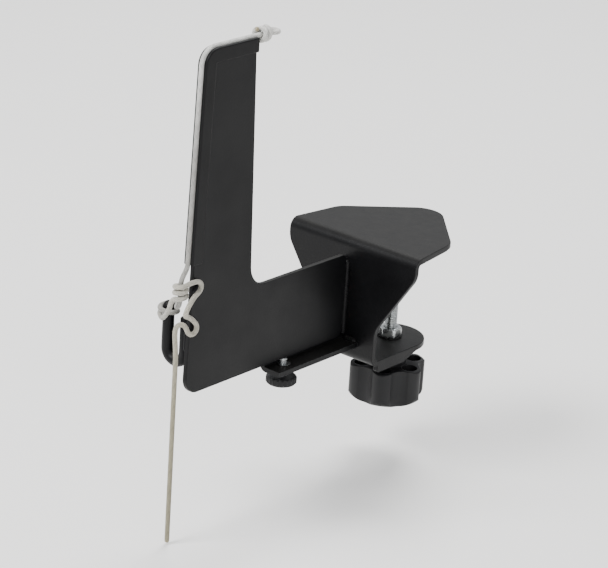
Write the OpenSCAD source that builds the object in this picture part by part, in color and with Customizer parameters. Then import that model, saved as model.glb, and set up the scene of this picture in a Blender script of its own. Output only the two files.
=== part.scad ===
// Table tennis net post with its screw clamp, and the net's tension cord tied off on its hook.
// Millimetres, +Z up. The origin is where the screw's axis meets the table's top surface.
// +Y points inboard over the table, -Y outboard to the post, and X runs along the table's side.

/* [Table] */
// Thickness of the table top that the clamp is closed on
table_thick = 22; // [18:1:28]
// Distance from the table's side edge to the screw's axis
screw_inset = 40; // [36:1:48]
// Clear height between the table's top surface and the lower jaw
throat_h = 71; // [64:1:86]

/* [Clamp frame] */
// Thickness of the frame's sheet steel
sheet_t = 3.5; // [3:0.25:4.5]
// Inner radius of the frame's bends
bend_r = 3; // [2.5:0.25:4]
// Width of the upper jaw at the table's edge
jaw_w = 100; // [84:1:120]
// Distance from the table's edge to the upper jaw's nose
jaw_reach = 76; // [66:1:90]
// Radius of the upper jaw's nose
jaw_nose_r = 16; // [12:1:20]
// Width of the lower jaw
lower_w = 44; // [40:1:52]
// Depth of the lower jaw's folded side lips
lip_h = 8; // [6:0.5:9.5]
// Thickness of the pad under the upper jaw
top_pad_t = 1.5; // [1:0.25:2]
// Thickness of the pad against the table's edge
edge_pad_t = 2; // [1.5:0.25:3]

/* [Post] */
// Height of the net's cord above the table
net_h = 152.5; // [120:0.5:185]
// Distance from the table's edge to the outside of the cord at the post's top
post_reach = 152.5; // [140:0.5:170]
// Thickness of the post's plate
post_t = 3; // [2.5:0.25:4]
// Width of the post at its top
post_top_w = 40; // [32:1:48]
// Lean of the post's outer edge, in degrees, outboard towards its foot
post_lean = 1.7; // [0.8:0.1:2.4]
// How far the post's inner edge spreads down to the arm
post_spread = 7; // [3:0.5:12]
// Depth of the arm's top edge below the table's top surface
arm_top = 3; // [2:0.5:6]
// Height of the arm
arm_h = 54; // [46:1:60]
// Gap between the arm's inner end and the clamp frame
arm_end_gap = 6; // [4:0.5:12]

/* [Cord] */
// Diameter of the tension cord
cord_d = 3; // [2.5:0.1:3.2]
// Width of the guide that carries the cord round the post's edges
guide_w = 7; // [6.5:0.25:9]
// Thickness of the guide between the post's edge and the cord
guide_t = 2.5; // [2:0.25:3.5]
// Depth of the cord's groove in the guide
groove_h = 1.2; // [0.8:0.1:1.4]
// Height above the table at which the guide ends on the outer edge
guide_end_z = 24; // [20:1:40]

/* [Cord hook] */
// Diameter of the hook's rod
hook_d = 7; // [6:0.25:8]
// Distance between the centres of the hook's two limbs
hook_span = 14; // [12:0.5:18]
// Distance of the hook outboard of the table's edge
hook_at = 148.5; // [146:0.5:149]
// Depth of the hook's lowest point below the table's top surface
hook_low = 43; // [38:0.5:50]
// Depth of the hook's tip below the table's top surface
hook_tip = 4; // [2:0.5:8]
// Length of the hook's shank on the post's plate
hook_shank = 22; // [18:1:25]

/* [Height adjuster] */
// Diameter of the height screw's thread
adjust_d = 6; // [5:0.5:7]
// Distance of the height screw outboard of the table's edge
adjust_at = 65; // [58:1:72]
// Height adjustment from the middle, each way
adjust_half = 3; // [2:0.5:4]
// Diameter of the height screw's wheel
wheel_d = 19; // [16:0.5:24]
// Thickness of the height screw's wheel
wheel_t = 5; // [4:0.5:7]
// Thickness of the slotted carrier's sheet steel
carrier_t = 3; // [2.5:0.25:3.5]
// Thickness of the nylon liner between the carrier and the arm
liner_t = 1; // [0.8:0.1:1.5]
// Diameter of the studs that guide the arm in the carrier's slots
stud_d = 6; // [5:0.5:7]
// Distance of the inner stud outboard of the table's edge
stud_near = 28; // [24:1:36]
// Distance of the outer stud outboard of the table's edge
stud_far = 90; // [84:1:93]

/* [Clamp screw] */
// Diameter of the clamp screw's thread
screw_d = 8; // [7:0.5:9]
// Diameter of the pressure foot
foot_d = 30; // [26:1:34]
// Thickness of the rubber face on the pressure foot
foot_pad_t = 2; // [1.5:0.25:3]
// Diameter of the knob over its lobes
knob_d = 50; // [44:1:58]
// Height of the knob's lobed body
knob_h = 24; // [20:1:28]
// Number of the knob's lobes
knob_lobes = 6; // [5:1:7]
// Gap between the lower jaw's lips and the knob's lobes
knob_gap = 9; // [8.5:0.5:12]

/* [Hidden] */
$fn = 64;

// Clearances
run_gap = 0.05;      // radial, round a turning shaft
face_gap = 0.15;     // between faces that slide on each other
slot_gap = 0.1;      // each side of a stud in its slot
screw_clear = 0.4;   // radial, where a screw only passes a plate
cord_gap = 0.25;     // between a cord and what it is wound on
end_gap = 0.5;       // left at the end of a travel

// Places across the clamp frame
edge_y = -screw_inset;
web_in_y = edge_y - edge_pad_t;
web_out_y = web_in_y - sheet_t;
jaw_top_z = top_pad_t + sheet_t;
lower_top_z = -throat_h;
lower_low_z = lower_top_z - sheet_t;
lip_low_z = lower_top_z - lip_h;
fold_r = bend_r + sheet_t;
jaw_tip_y = edge_y + jaw_reach;
jaw_flank_y = edge_y + jaw_reach * 0.47;
jaw_flank_w = jaw_w * 0.9;
jaw_bend_y = web_in_y + bend_r;
web_taper_z = -throat_h * 0.7;
lower_nose_r = lower_w / 2;

// Places on the post
cord_r = cord_d / 2;
cord_top_z = net_h - cord_r;
post_top_z = cord_top_z - cord_r - guide_t;
post_edge = post_reach - cord_d - guide_t;
arm_low = arm_top + arm_h;
post_foot_edge = post_edge + (post_top_z + arm_low) * tan(post_lean);
post_in_top = post_edge - post_top_w;
post_in_foot = post_in_top - post_spread;
arm_in = edge_pad_t + sheet_t + arm_end_gap;
corner_r = 6;
guide_grip = 5;
cord_bend_r = corner_r + guide_t + cord_r;

// Places of the carrier behind the arm
liner_x = -post_t / 2 - face_gap;
carrier_x = liner_x - liner_t;
carrier_back_x = carrier_x - carrier_t;
carrier_out = stud_far + stud_d + 5;
carrier_top = arm_top + adjust_half + 2;
carrier_fold_r = 1.5;
shelf_top = arm_low + adjust_half + end_gap;
shelf_low = shelf_top + carrier_t;
shelf_x = 10;
shelf_out = adjust_at + 14;
stud_z = -(arm_top + arm_h / 2);
slot_w = stud_d + 2 * slot_gap;
slot_h = slot_w + 2 * (adjust_half + slot_gap);
washer_x = carrier_back_x - face_gap;
washer_t = 1.6;
washer_r = stud_d * 1.25;
nut_x = washer_x - washer_t;
nut_t = stud_d;
nut_af = stud_d * 5 / 3;
stud_end_x = nut_x - nut_t - 2;

// Places of the height screw
bush_r = adjust_d * 5 / 6;
bush_head_r = bush_r + 2;
bush_head_t = 1.5;
bush_low = shelf_low + bush_head_t;
wheel_top = bush_low + adjust_half + end_gap;
wheel_low = wheel_top + wheel_t;
height_tip_gap = 0.1;
wheel_flutes = 20;

// Places of the clamp screw
foot_top_z = -table_thick;
cup_top_z = foot_top_z - foot_pad_t;
cup_plate_t = 3;
cup_hub_h = 6;
cup_low_z = cup_top_z - cup_plate_t - cup_hub_h;
cup_hub_r = screw_d;
neck_r = screw_d * 3 / 8;
clip_r = neck_r + 2;
clip_t = 0.8;
clip_top_z = cup_top_z - 2.6;
recess_z = clip_top_z - clip_t - face_gap;
jaw_nut_h = screw_d * 13 / 16;
jaw_nut_af = screw_d * 13 / 8;
lobe_top_z = lip_low_z - knob_gap;
boss_h = 3;
lobe_bite = 0.3;
lobe_wall = 2.5;
boss_top_z = lobe_top_z + boss_h;
boss_r = knob_d * 0.24;
knob_low_z = lobe_top_z - knob_h;
insert_r = screw_d * 3 / 4;
insert_h = 16;
cap_r = boss_r - 3;
cap_t = 2;
cap_dome = 1.3;
spindle_low_z = boss_top_z - insert_h;

// Places of the hook, behind the post's plate
hook_r = hook_d / 2;
hook_flat = 0.6;
hook_in_x = -post_t / 2 - hook_r + hook_flat;
hook_out_x = hook_in_x - hook_span;
hook_bend_z = -hook_low + hook_r + hook_span / 2;
hook_head_z = hook_bend_z + hook_shank;

// The cord's turns: round its own line at the guide's mouth, round the hook, and in the knot
cord_sides = 8;
rings_a_turn = 24;
wrap_r = cord_d + 0.5;
wrap_pitch = cord_d + 0.6;
stop_turns = 2;
hitch_r = hook_r + cord_r + cord_gap;
hitch_from = 60;
hitch_sweep = 540;
hitch_z = -7;
knot_x = -1;
knot_out = 158.5;
knot_from = 250;
knot_sweep = 830;
knot_z = 5;
tail_out = 160;
tail_low_z = -150;

// The cord's hand-placed points: [x, distance outboard of the table's edge, z]
stop_points = [
    [-1.6, 97.1, 154.25], [-2.9, 95.3, 153.1], [-3.6, 93, 151.9], [-3.5, 90.9, 151.2],
    [-2.5, 88.9, 150.9], [-0.5, 88, 150.8], [1.5, 88.9, 150.8], [2.4, 91, 150.9], [2, 93.5, 151],
    [0.7, 96, 151]
];
drop_points = [
    [-0.3, 156, 20.5], [-0.8, 157.8, 17], [-1, 158.5, 13.5], [-1, 158.5, 9], [-1, 158.5, 4.5],
    [-2.4, 157.6, 0.4], [-5.4, 155.3, -2.6], [-9.5, 151.8, -4.6], [-13.2, 147.4, -6]
];
return_points = [
    [-17, 155.6, -12.8], [-12.5, 157.9, -9.4], [-8, 159.9, -3.8], [-5.9, 161.1, 0.2],
    [-4.3, 161.7, 3.1]
];
ear_points = [
    [3.1, 155, 14.2], [3.4, 152, 14.3], [3.4, 149.2, 14], [3.4, 146.9, 12.8], [3.4, 146, 10.7],
    [3.6, 146.9, 8.5], [4.2, 149.2, 7.3], [5.2, 152.2, 7], [6.1, 155.4, 5.8], [6.3, 158.4, 3],
    [5.6, 160, -1], [4.2, 159.2, -4.4], [3.5, 156.5, -5.8], [3.4, 153, -8], [3.4, 150.6, -10.3],
    [3.4, 148.7, -12.4], [3.4, 148.1, -14.9], [3.4, 149.2, -17.1], [3.4, 151.5, -17.9],
    [3.4, 154, -17.2], [3.4, 155.7, -15.5], [3.3, 156.7, -13.4], [2.8, 157.7, -11.4],
    [1.4, 159.2, -10.3], [0, 160.8, -11.2], [-0.7, 161.6, -13.7], [-0.9, 161.6, -17.7],
    [-1, 160.9, -22.4], [-1, 160.3, -27.4]
];

// ---------------------------------------------------------------- helpers

// A place by its distance outboard of the table's edge
function out_y(distance) = edge_y - distance;

function unit(v) = v / norm(v);

// One corner of an outline: where its round starts and ends, its centre, its radius, and whether
// it points outwards. Each point of the outline is [x, y, radius], and they run anticlockwise.
function corner(points, i) =
    let (
        count = len(points),
        here = [points[i][0], points[i][1]],
        radius = points[i][2],
        before = points[(i + count - 1) % count],
        after = points[(i + 1) % count],
        back = unit([before[0], before[1]] - here),
        ahead = unit([after[0], after[1]] - here),
        half = acos(max(-1, min(1, back * ahead))) / 2,
        reach = radius / tan(half)
    )
    [
        here + back * reach,
        here + ahead * reach,
        here + unit(back + ahead) * radius / sin(half),
        radius,
        back[0] * ahead[1] < back[1] * ahead[0]
    ];

// A flat outline of straight sides with true round corners, inner and outer
module outline(points) {
    corners = [for (i = [0 : len(points) - 1]) corner(points, i)];
    difference() {
        union() {
            polygon([for (c = corners) each (c[3] > 0 ? [c[0], c[1]] : [c[0]])]);
            for (c = corners)
                if (c[3] > 0 && c[4])
                    translate(c[2])
                        circle(c[3]);
        }
        for (c = corners)
            if (c[3] > 0 && !c[4])
                translate(c[2])
                    circle(c[3]);
    }
}

// A plate in the plane of the net, outlined in [distance outboard, z], from x = low to x = high
module net_plane_plate(low, high) {
    translate([low, 0, 0])
        rotate([90, 0, 90])
            linear_extrude(high - low)
                translate([edge_y, 0])
                    mirror([1, 0])
                        children();
}

// An upright cylinder from z = low to z = high
module upright(r, low, high) {
    translate([0, 0, low])
        cylinder(r = r, h = high - low);
}

// An upright hexagon across its flats
module upright_hex(across, low, high) {
    translate([0, 0, low])
        cylinder(r = across / sqrt(3), h = high - low, $fn = 6);
}

// A cylinder along X at a place in the net's plane, from x = low to x = high
module cross_pin(r, distance, z, low, high) {
    translate([low, out_y(distance), z])
        rotate([0, 90, 0])
            cylinder(r = r, h = high - low);
}

// A place given by its distance outboard of the table's edge
function at(p) = [p[0], out_y(p[1]), p[2]];

// Points along a straight line, the last left out
function line(from, to, steps) = [for (i = [0 : steps - 1]) from + (to - from) * i / steps];

// Points along a smooth curve between the second given one and the last but one, both left out;
// the first and the last only aim its ends
function blend(a, b, c, d, t) =
    0.5 * (2 * b + (c - a) * t + (2 * a - 5 * b + 4 * c - d) * t * t
    + (3 * b - 3 * c + d - a) * t * t * t);
function curve(p, steps) = [
    for (i = [1 : len(p) - 3])
        for (k = [0 : steps - 1])
            if (i + k > 1) blend(p[i - 1], p[i], p[i + 1], p[i + 2], k / steps)
];

// Points of an upright winding that rises or sinks with its pitch
function winding(x, distance, z, radius, pitch, from, sweep) = [
    for (i = [0 : round(sweep / 360 * rings_a_turn)])
        let (turn = i / rings_a_turn, angle = from + 360 * turn)
        [x + radius * cos(angle), out_y(distance) + radius * sin(angle), z + pitch * turn]
];

// Points of a winding that lies along the net's plane, running inboard
function lying_winding(distance, z, radius, pitch, turns) = [
    for (i = [0 : turns * rings_a_turn])
        let (turn = i / rings_a_turn, angle = 90 + 360 * turn)
        [radius * cos(angle), out_y(distance - pitch * turn), z + radius * sin(angle)]
];

// Directions along a run of points, and a side direction carried along it without twisting
function tangents(p) = [
    for (i = [0 : len(p) - 1]) unit(p[min(i + 1, len(p) - 1)] - p[max(i - 1, 0)])
];
function square_to(t) = unit(cross(t, abs(t[2]) < 0.8 ? [0, 0, 1] : [1, 0, 0]));
function carried(t) = [
    for (i = 0, n = square_to(t[0]); i < len(t);
        i = i + 1, n = i < len(t) ? unit(n - (n * t[i]) * t[i]) : n) n
];

// One unbroken tube swept along points
module tube(points, radius, sides) {
    t = tangents(points);
    n = carried(t);
    rings = len(points);
    skin = [
        for (i = [0 : rings - 1])
            for (k = [0 : sides - 1])
                let (angle = 360 * k / sides)
                points[i] + radius * (cos(angle) * n[i] + sin(angle) * cross(t[i], n[i]))
    ];
    start_cap = [for (k = [1 : sides - 2]) [0, k, k + 1]];
    end_cap = [for (k = [1 : sides - 2]) (rings - 1) * sides * [1, 1, 1] + [0, k + 1, k]];
    walls = [
        for (i = [0 : rings - 2])
            for (k = [0 : sides - 1])
                let (
                    a = i * sides + k,
                    b = i * sides + (k + 1) % sides,
                    c = b + sides,
                    d = a + sides
                )
                each [[a, c, b], [a, d, c]]
    ];
    polyhedron(points = skin, faces = concat(start_cap, walls, end_cap));
}

// Length along a run of points up to each of them
function lengths(p) = [
    for (i = 0, sum = 0; i < len(p);
        i = i + 1, sum = i < len(p) ? sum + norm(p[i] - p[i - 1]) : sum) sum
];

// The least gap that a tube leaves to itself, looking past its own next bend
function least_gap(p, diameter) =
    let (along = lengths(p))
    min([
        for (i = [0 : len(p) - 2])
            for (j = [i + 1 : len(p) - 1])
                if (along[j] - along[i] > 3 * diameter) norm(p[i] - p[j])
    ]) - diameter;

// ---------------------------------------------------------------- clamp frame

// Side view of the folded sheet: upper jaw, web and lower jaw
module frame_side() {
    difference() {
        union() {
            translate([web_out_y + fold_r, top_pad_t])
                square([jaw_tip_y - web_out_y - fold_r, sheet_t]);
            translate([web_out_y, lower_low_z + fold_r])
                square([sheet_t, jaw_top_z - lower_low_z - 2 * fold_r]);
            translate([web_out_y + fold_r, lower_low_z])
                square([lower_nose_r - web_out_y - fold_r, sheet_t]);
            intersection() {
                translate([web_out_y + fold_r, jaw_top_z - fold_r])
                    circle(fold_r);
                translate([web_out_y, jaw_top_z - fold_r])
                    square(fold_r);
            }
            intersection() {
                translate([web_out_y + fold_r, lower_low_z + fold_r])
                    circle(fold_r);
                translate([web_out_y, lower_low_z])
                    square(fold_r);
            }
        }
        translate([web_out_y + fold_r, jaw_top_z - fold_r])
            circle(bend_r);
        translate([web_out_y + fold_r, lower_low_z + fold_r])
            circle(bend_r);
    }
}

// Plan of the upper jaw from its bend, tapering to a round nose that its flanks run into
module upper_plan(inset, back) {
    nose_r = jaw_nose_r - inset;
    nose_y = jaw_tip_y - jaw_nose_r;
    flank = jaw_flank_w / 2 - inset;
    slope = atan2(flank, nose_y - jaw_flank_y) - asin(nose_r / norm([flank, nose_y - jaw_flank_y]));
    outline([
        [-jaw_w / 2 + inset, back, 0],
        [jaw_w / 2 - inset, back, 0],
        [flank, jaw_flank_y, 14],
        [0, nose_y + nose_r / sin(slope), nose_r],
        [-flank, jaw_flank_y, 14]
    ]);
}

// Front view of the web, tapering down to the lower jaw
module web_front(inset, low, high) {
    intersection() {
        outline([
            [-lower_w / 2 + inset, low, 0],
            [lower_w / 2 - inset, low, 0],
            [lower_w / 2 - inset, web_taper_z, 20],
            [jaw_w / 2 - inset, -8, 14],
            [jaw_w / 2 - inset, high, 0],
            [-jaw_w / 2 + inset, high, 0],
            [-jaw_w / 2 + inset, -8, 14],
            [-lower_w / 2 + inset, web_taper_z, 20]
        ]);
        translate([-jaw_w / 2, low])
            square([jaw_w, high - low]);
    }
}

module clamp_frame() {
    color("#1b1b1d")
    difference() {
        union() {
            intersection() {
                translate([-jaw_w / 2, 0, 0])
                    rotate([90, 0, 90])
                        linear_extrude(jaw_w)
                            frame_side();
                union() {
                    translate([0, 0, top_pad_t - 1])
                        linear_extrude(sheet_t + 2)
                            upper_plan(0, jaw_bend_y);
                    translate([0, jaw_bend_y, 0])
                        rotate([90, 0, 0])
                            linear_extrude(fold_r)
                                web_front(0, lower_low_z - 1, jaw_top_z + 1);
                    translate([0, 0, lower_low_z - 1])
                        linear_extrude(sheet_t + 2)
                            union() {
                                translate([-lower_w / 2, jaw_bend_y])
                                    square([lower_w, -jaw_bend_y]);
                                circle(lower_nose_r);
                            }
                }
            }
            // side lips folded down from the lower jaw
            for (side = [0, 1])
                mirror([side, 0, 0])
                    translate([lower_w / 2 - sheet_t, 0, 0])
                        rotate([90, 0, 90])
                            linear_extrude(sheet_t)
                                outline([
                                    [jaw_bend_y, lip_low_z, 2],
                                    [-lower_w * 0.3, lip_low_z, 4],
                                    [0, lower_low_z, 0],
                                    [jaw_bend_y, lower_low_z, 0]
                                ]);
        }
        upright(screw_d / 2 + 0.5, lip_low_z - 1, lower_top_z + 1);
    }
}

module upper_pad() {
    color("#2a2a2b")
    linear_extrude(top_pad_t)
        upper_plan(1.5, edge_y + bend_r / 2);
}

module edge_pad() {
    color("#2a2a2b")
    translate([0, edge_y, 0])
        rotate([90, 0, 0])
            linear_extrude(edge_pad_t)
                web_front(2, lower_top_z + bend_r + 1, top_pad_t - bend_r - 1);
}

module jaw_nut() {
    color("#77787a")
    difference() {
        intersection() {
            upright_hex(jaw_nut_af, lower_top_z, lower_top_z + jaw_nut_h);
            rotate_extrude()
                polygon([
                    [0, lower_top_z],
                    [jaw_nut_af / sqrt(3), lower_top_z],
                    [jaw_nut_af / sqrt(3), lower_top_z + jaw_nut_h - 0.8],
                    [jaw_nut_af / 2, lower_top_z + jaw_nut_h],
                    [0, lower_top_z + jaw_nut_h]
                ]);
        }
        upright(screw_d / 2 + run_gap, lower_top_z - 1, lower_top_z + jaw_nut_h + 1);
    }
}

// ---------------------------------------------------------------- carrier for the post's arm

// The two upright slots that the arm's studs slide in
module stud_slots(width, height) {
    for (distance = [stud_near, stud_far])
        translate([distance, stud_z]) {
            square([width, height - width], center = true);
            for (end = [-1, 1])
                translate([0, end * (height - width) / 2])
                    circle(width / 2);
        }
}

module carrier_plate() {
    inner_r = carrier_fold_r;
    outer_r = carrier_fold_r + carrier_t;
    start = edge_pad_t + sheet_t;
    color("#1b1b1d")
    difference() {
        union() {
            net_plane_plate(carrier_back_x, carrier_x)
                difference() {
                    outline([
                        [start, -shelf_low + outer_r, 0],
                        [shelf_out, -shelf_low + outer_r, 0],
                        [carrier_out, -shelf_low + outer_r + 10, 6],
                        [carrier_out, -carrier_top, 6],
                        [start, -carrier_top, 0]
                    ]);
                    stud_slots(slot_w, slot_h);
                }
            // the fold and the shelf under the arm
            translate([0, edge_y - start, 0])
                rotate([90, 0, 0])
                    linear_extrude(shelf_out - start)
                        difference() {
                            union() {
                                intersection() {
                                    translate([carrier_back_x + outer_r, -shelf_low + outer_r])
                                        circle(outer_r);
                                    translate([carrier_back_x, -shelf_low])
                                        square(outer_r);
                                }
                                translate([carrier_back_x + outer_r, -shelf_low])
                                    square([shelf_x - carrier_back_x - outer_r, carrier_t]);
                            }
                            translate([carrier_back_x + outer_r, -shelf_low + outer_r])
                                circle(inner_r);
                        }
        }
        translate([0, out_y(adjust_at), 0]) {
            upright(bush_r, -shelf_low - 1, -shelf_top);
            upright(adjust_d / 2 + screw_clear, -shelf_top - 1, -arm_low + adjust_half + 1);
        }
    }
}

module slide_liner() {
    start = edge_pad_t + sheet_t + 4;
    color("#d9d7cf")
    net_plane_plate(carrier_x, liner_x)
        difference() {
            outline([
                [start, -arm_low + 4, 3],
                [shelf_out, -arm_low + 4, 0],
                [carrier_out - 2, -shelf_low + 15, 5],
                [carrier_out - 2, -carrier_top - 2, 4],
                [start, -carrier_top - 2, 3]
            ]);
            stud_slots(slot_w + 1, slot_h + 1);
        }
}

module height_bush() {
    color("#8d8f92")
    translate([0, out_y(adjust_at), 0])
        difference() {
            union() {
                upright(bush_r, -shelf_low, -shelf_top);
                upright(bush_head_r, -bush_low, -shelf_low);
            }
            upright(adjust_d / 2 + run_gap, -bush_low - 1, -shelf_top + 1);
        }
}

// ---------------------------------------------------------------- post

// Distance outboard of the post's leaning outer edge at a height
function edge_at(z) = post_edge + (post_top_z - z) * tan(post_lean);

module post_plate() {
    color("#151517")
    net_plane_plate(-post_t / 2, post_t / 2)
        outline([
            [arm_in, -arm_low, 6],
            [post_foot_edge, -arm_low, 10],
            [post_edge, post_top_z, corner_r],
            [post_in_top, post_top_z, 2],
            [post_in_foot, -arm_top, 14],
            [arm_in, -arm_top, 4]
        ]);
}

// Section of the cord's guide, as [x, height over the post's edge]: two legs astride the plate
// under a groove for the cord. Where the strip is bent, its walls draw in a little.
module guide_section(draw = 0) {
    slot_half = post_t / 2 + run_gap + draw;
    groove_r = cord_r + run_gap + draw;
    side = guide_w / 2 - draw;
    low = -guide_grip + draw;
    top = guide_t + groove_h - draw;
    difference() {
        outline([[-side, low, 0.8], [side, low, 0.8], [side, top, 0.8], [-side, top, 0.8]]);
        translate([0, guide_t + cord_r])
            circle(groove_r);
        translate([-groove_r, guide_t + cord_r])
            square([2 * groove_r, groove_h]);
        translate([-slot_half, low - 1])
            square([2 * slot_half, 1 - low + run_gap + draw]);
    }
}

// Where the guide's corner turns: its centre, and the length of the run before it
guide_top_run = post_edge - corner_r * tan((90 - post_lean) / 2) - post_in_top;
guide_centre = [0, out_y(post_in_top + guide_top_run), post_top_z - corner_r];
guide_side_run = (guide_centre[2] - guide_end_z) / cos(post_lean);

module cord_guide() {
    color("#202022")
    translate(guide_centre) {
        // along the post's top
        translate([0, guide_top_run, corner_r])
            rotate([90, 0, 0])
                linear_extrude(guide_top_run)
                    guide_section();
        // round the outer corner
        rotate(a = 180, v = [1, 0, 1])
            rotate_extrude(angle = 90 - post_lean + 2)
                translate([corner_r, 0])
                    rotate(-90)
                        guide_section(0.03);
        // down the leaning outer edge
        rotate([90 - post_lean, 0, 0])
            translate([0, 0, corner_r])
                rotate([90, 0, 0])
                    linear_extrude(guide_side_run)
                        guide_section();
    }
}

module cord_hook() {
    color("#19191b")
    translate([0, out_y(hook_at), 0])
        difference() {
            union() {
                translate([hook_in_x, 0, 0])
                    upright(hook_r, hook_bend_z, hook_head_z);
                translate([hook_out_x, 0, 0])
                    upright(hook_r, hook_bend_z, -hook_tip - hook_r);
                translate([hook_out_x, 0, -hook_tip - hook_r])
                    sphere(hook_r);
                translate([hook_in_x - hook_span / 2, 0, hook_bend_z])
                    rotate([90, 0, 0])
                        rotate([0, 0, 180])
                            rotate_extrude(angle = 180)
                                translate([hook_span / 2, 0])
                                    circle(hook_r);
            }
            // flat where the shank is welded to the post's back
            translate([-post_t / 2, -hook_d, hook_bend_z - hook_d])
                cube([hook_d, 2 * hook_d, hook_shank + 2 * hook_d]);
        }
}

module guide_studs() {
    color("#9a9c9f")
    for (distance = [stud_near, stud_far])
        cross_pin(stud_d / 2, distance, stud_z, stud_end_x, -post_t / 2);
}

module stud_washers() {
    color("#b5b6b8")
    for (distance = [stud_near, stud_far])
        difference() {
            cross_pin(washer_r, distance, stud_z, nut_x, washer_x);
            cross_pin(stud_d / 2 + slot_gap, distance, stud_z, nut_x - 1, washer_x + 1);
        }
}

module stud_locknuts() {
    collar_t = nut_t * 0.25;
    color("#a8aaad")
    for (distance = [stud_near, stud_far])
        difference() {
            union() {
                translate([nut_x - nut_t + collar_t, out_y(distance), stud_z])
                    rotate([0, 90, 0])
                        cylinder(r = nut_af / sqrt(3), h = nut_t - collar_t, $fn = 6);
                cross_pin(nut_af * 0.46, distance, stud_z, nut_x - nut_t, nut_x - nut_t + collar_t);
            }
            cross_pin(stud_d / 2 + run_gap, distance, stud_z, nut_x - nut_t - 1, nut_x + 1);
        }
}

// ---------------------------------------------------------------- height screw

module height_screw() {
    tip_z = -arm_low - height_tip_gap;
    color("#9a9c9f")
    translate([0, out_y(adjust_at), 0])
        rotate_extrude()
            polygon([
                [0, -wheel_low],
                [adjust_d / 2, -wheel_low],
                [adjust_d / 2, tip_z - 1],
                [adjust_d / 2 - 1, tip_z],
                [0, tip_z]
            ]);
}

module height_wheel() {
    color("#202022")
    translate([0, out_y(adjust_at), 0])
        difference() {
            rotate_extrude()
                polygon([
                    [adjust_d / 2, -wheel_low],
                    [wheel_d / 2 - 1, -wheel_low],
                    [wheel_d / 2, -wheel_low + 1],
                    [wheel_d / 2, -wheel_top - 1],
                    [wheel_d / 2 - 1, -wheel_top],
                    [adjust_d / 2, -wheel_top]
                ]);
            for (i = [0 : wheel_flutes - 1])
                rotate([0, 0, 360 * i / wheel_flutes])
                    translate([wheel_d / 2 + 0.5, 0, 0])
                        upright(1.2, -wheel_low - 1, -wheel_top + 1);
        }
}

// ---------------------------------------------------------------- clamp screw and foot

module pressure_cup() {
    color("#6d6f72")
    rotate_extrude()
        polygon([
            [neck_r + run_gap, cup_low_z],
            [cup_hub_r - 0.8, cup_low_z],
            [cup_hub_r, cup_low_z + 0.8],
            [cup_hub_r, cup_top_z - cup_plate_t - 1],
            [cup_hub_r + 1, cup_top_z - cup_plate_t],
            [foot_d / 2 - 0.8, cup_top_z - cup_plate_t],
            [foot_d / 2, cup_top_z - cup_plate_t + 0.8],
            [foot_d / 2, cup_top_z],
            [clip_r + 0.6, cup_top_z],
            [clip_r + 0.6, recess_z],
            [neck_r + run_gap, recess_z]
        ]);
}

module pressure_pad() {
    color("#232324")
    rotate_extrude()
        polygon([
            [0, cup_top_z],
            [foot_d / 2 - 0.5, cup_top_z],
            [foot_d / 2 - 0.5, foot_top_z - 0.6],
            [foot_d / 2 - 1.1, foot_top_z],
            [0, foot_top_z]
        ]);
}

module clamp_spindle() {
    shoulder_z = cup_low_z - face_gap;
    color("#a3a5a8")
    rotate_extrude()
        polygon([
            [0, spindle_low_z],
            [screw_d / 2, spindle_low_z],
            [screw_d / 2, shoulder_z - 0.8],
            [screw_d / 2 - 0.8, shoulder_z],
            [neck_r, shoulder_z],
            [neck_r, clip_top_z - clip_t - run_gap],
            [neck_r - 0.6, clip_top_z - clip_t - run_gap],
            [neck_r - 0.6, clip_top_z + run_gap],
            [neck_r, clip_top_z + run_gap],
            [neck_r, cup_top_z - 0.8],
            [neck_r - 0.5, cup_top_z - 0.3],
            [0, cup_top_z - 0.3]
        ]);
}

// Snap ring in the spindle's groove, open on one side
module spindle_clip() {
    color("#4d4e50")
    translate([0, 0, clip_top_z - clip_t])
        linear_extrude(clip_t)
            difference() {
                circle(clip_r);
                circle(neck_r - 0.6 + run_gap);
                translate([0, -(neck_r - 0.9)])
                    square([clip_r + 1, 2 * (neck_r - 0.9)]);
            }
}

// Star outline: round lobes on a disc, parted by round hollows that run into them
module star(radius) {
    half = 180 / knob_lobes;
    lobe_r = radius * 0.6 * sin(half);
    lobe_at = radius - lobe_r;
    hollow_at = radius * 1.12;
    apart = norm([hollow_at * cos(half) - lobe_at, hollow_at * sin(half)]);
    difference() {
        union() {
            circle(radius * 0.86);
            for (i = [0 : knob_lobes - 1])
                rotate(2 * half * i)
                    translate([lobe_at, 0])
                        circle(lobe_r);
        }
        for (i = [0 : knob_lobes - 1])
            rotate(2 * half * i + half)
                translate([hollow_at, 0])
                    circle(apart - lobe_r + lobe_bite);
    }
}

module clamp_knob() {
    lobe_r = knob_d * 0.3 * sin(180 / knob_lobes);
    lobe_at = knob_d / 2 - lobe_r;
    rim_r = knob_d / 2 + 0.4;
    color("#19191a")
    difference() {
        union() {
            intersection() {
                translate([0, 0, knob_low_z])
                    linear_extrude(knob_h)
                        star(knob_d / 2);
                // domed underneath, with a small round at the top edge
                rotate_extrude()
                    outline([
                        [0, knob_low_z, 0],
                        [rim_r, knob_low_z, 7],
                        [rim_r, lobe_top_z, 3],
                        [0, lobe_top_z, 0]
                    ]);
            }
            upright(boss_r, lobe_top_z - 1, boss_top_z);
        }
        // the moulding is cored from above, one pocket in each lobe
        for (i = [0 : knob_lobes - 1])
            rotate([0, 0, 360 * i / knob_lobes])
                translate([lobe_at, 0, 0])
                    upright(lobe_r - lobe_wall, knob_low_z + 7, lobe_top_z + 1);
        upright(insert_r, spindle_low_z, boss_top_z + 1);
        upright(screw_d / 2, knob_low_z - 1, boss_top_z + 1);
        upright(cap_r + run_gap, knob_low_z - 1, knob_low_z + cap_t);
    }
}

module knob_insert() {
    color("#b08d4a")
    difference() {
        upright(insert_r, spindle_low_z, boss_top_z + 0.5);
        upright(screw_d / 2, spindle_low_z - 1, boss_top_z + 1);
    }
}

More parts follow.
